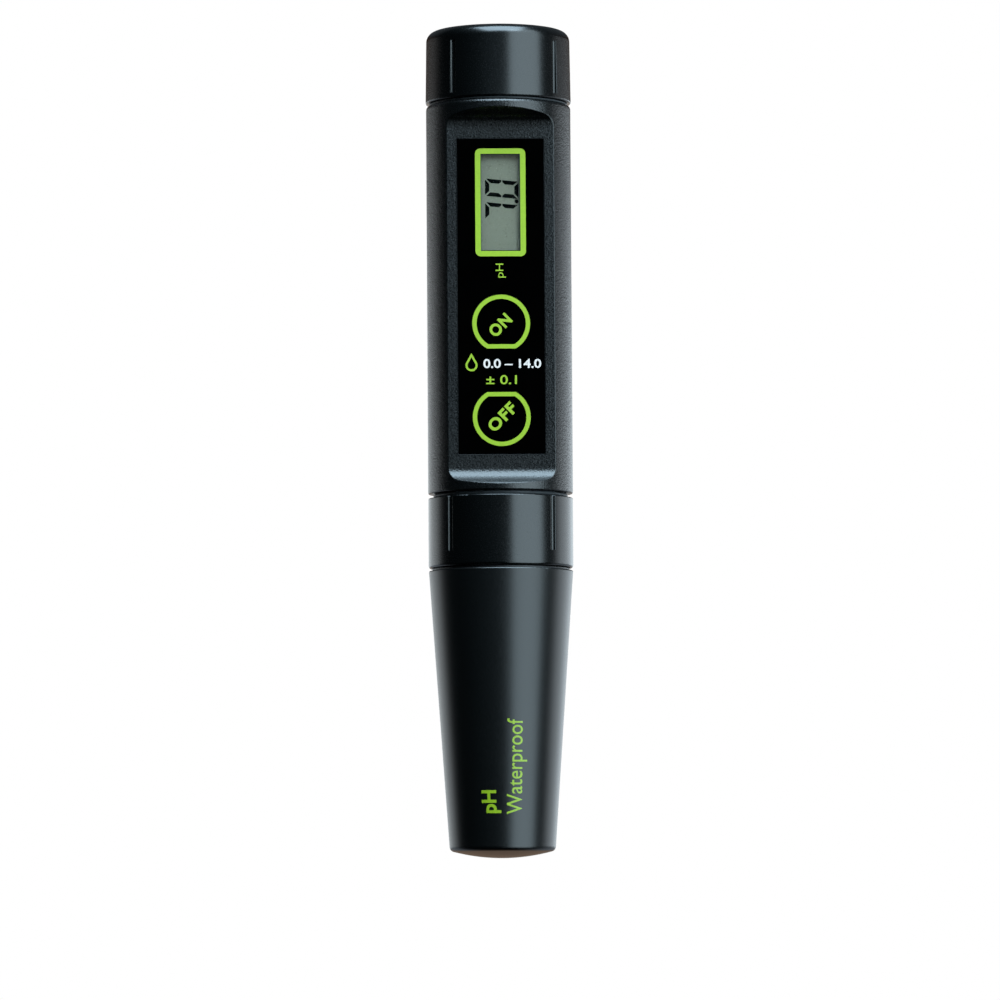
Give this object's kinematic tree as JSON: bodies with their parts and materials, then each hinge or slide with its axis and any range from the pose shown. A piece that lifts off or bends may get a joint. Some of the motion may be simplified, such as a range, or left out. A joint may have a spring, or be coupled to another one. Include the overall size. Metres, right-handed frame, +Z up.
{
  "type": "digital ph meter",
  "caption": "Pen-type waterproof pH tester with recessed keypad panel, upright display, screwed battery cap, probe collar and tapered pull-off protective cap.",
  "frame": {"origin": "lowest point of the domed protective cap, on the pen's axis", "axes": "+Z up along the pen towards the battery cap, display facing -Y, +X to the right of the display"},
  "size_m": [0.0352, 0.0352, 0.2002],
  "materials": {
    "housing_plastic": "fine spark-eroded grain",
    "cap_plastic": "satin gloss",
    "overlay_film": "glossy printed film",
    "window_film": "clear film",
    "lcd_glass": "grey-green display glass",
    "frame_plastic": "natural moulded plastic",
    "board_laminate": "green solder mask",
    "chip_resin": "moulded resin",
    "component_ceramic": "fired ceramic",
    "plated_steel": "nickel plated",
    "cell_steel": "polished can",
    "silver_wire": "silver",
    "gold_plate": "gold plated",
    "trimmer_blue": "moulded",
    "trimmer_white": "moulded",
    "grey_rubber": "satin",
    "black_rubber": "satin",
    "probe_plastic": "moulded",
    "electrode_glass": "clear blown glass",
    "junction_ceramic": "porous",
    "sponge_foam": "open-cell foam"
  },
  "bodies": {
    "housing": {"amplifier_chip": "chip_resin", "battery_cap_gasket": "grey_rubber", "battery_cap_o_ring": "black_rubber", "battery_holder": "frame_plastic", "battery_spring": "plated_steel", "board_screws": "plated_steel", "button_cell_1": "cell_steel", "button_cell_2": "cell_steel", "button_cell_3": "cell_steel", "button_cell_4": "cell_steel", "collar_o_ring": "grey_rubber", "contact_strips": "black_rubber", "display_window": "window_film", "keypad_overlay": "overlay_film", "lcd_frame": "frame_plastic", "lcd_glass": "lcd_glass", "main_board": "board_laminate", "main_housing": "housing_plastic", "off_switch_body": "chip_resin", "offset_trimmer_body": "trimmer_blue", "on_switch_body": "chip_resin", "probe_socket": "chip_resin", "processor_chip": "chip_resin", "signal_leads": "plated_steel", "slope_trimmer_body": "trimmer_blue", "small_components": "component_ceramic", "supply_strip": "plated_steel"},
    "on_key": {"on_key": "overlay_film", "on_switch_plunger": "frame_plastic"},
    "off_key": {"off_key": "overlay_film", "off_switch_plunger": "frame_plastic"},
    "offset_trimmer": {"offset_trimmer_rotor": "trimmer_white"},
    "slope_trimmer": {"slope_trimmer_rotor": "trimmer_white"},
    "contact_plate": {"contact_plate": "plated_steel"},
    "battery_cap": {"battery_cap": "cap_plastic", "contact_rivet": "plated_steel"},
    "probe": {"probe_body": "probe_plastic", "seat_ring": "probe_plastic", "shield_o_ring": "black_rubber", "probe_head_o_ring": "black_rubber", "glass_electrode": "electrode_glass", "sensing_wire": "silver_wire", "reference_wire": "silver_wire", "reference_junction": "junction_ceramic", "stem_plug": "black_rubber", "contact_pins": "gold_plate"},
    "probe_collar": {"probe_collar": "cap_plastic"},
    "protective_cap": {"protective_cap": "cap_plastic", "storage_sponge": "sponge_foam"}
  },
  "joints": [
    {"name": "on_key_press", "type": "slide", "parent": "housing", "child": "on_key", "axis": [0, 1, 0], "range_m": [0, 0.0003], "stiffness_N_per_m": 1500},
    {"name": "off_key_press", "type": "slide", "parent": "housing", "child": "off_key", "axis": [0, 1, 0], "range_m": [0, 0.0003], "stiffness_N_per_m": 1500},
    {"name": "offset_trimmer_turn", "type": "hinge", "parent": "housing", "child": "offset_trimmer", "pos_m": [-0.005, -0.008, 0.1782], "axis": [0, 0, 1], "range_deg": [-120, 120]},
    {"name": "slope_trimmer_turn", "type": "hinge", "parent": "housing", "child": "slope_trimmer", "pos_m": [0.005, -0.008, 0.1782], "axis": [0, 0, 1], "range_deg": [-120, 120]},
    {"name": "battery_cap_lift", "type": "slide", "parent": "housing", "child": "contact_plate", "axis": [0, 0, 1], "range_m": [0, 0.009]},
    {"name": "battery_cap_turn", "type": "hinge", "parent": "contact_plate", "child": "battery_cap", "pos_m": [0, 0, 0.19], "axis": [0, 0, 1], "range_deg": [0, 1081]},
    {"name": "probe_drop", "type": "slide", "parent": "housing", "child": "probe", "axis": [0, 0, -1], "range_m": [0, 0.0105]},
    {"name": "collar_turn", "type": "hinge", "parent": "probe", "child": "probe_collar", "pos_m": [0, 0, 0.078], "axis": [0, 0, -1], "range_deg": [0, 1081]},
    {"name": "protective_cap_pull", "type": "slide", "parent": "probe", "child": "protective_cap", "axis": [0, 0, -1], "range_m": [0, 0.062]}
  ],
  "couplings": [
    {"joint": "battery_cap_turn", "follows": "battery_cap_lift", "rad_per_m": 2094.4},
    {"joint": "collar_turn", "follows": "probe_drop", "rad_per_m": 1795.2}
  ]
}
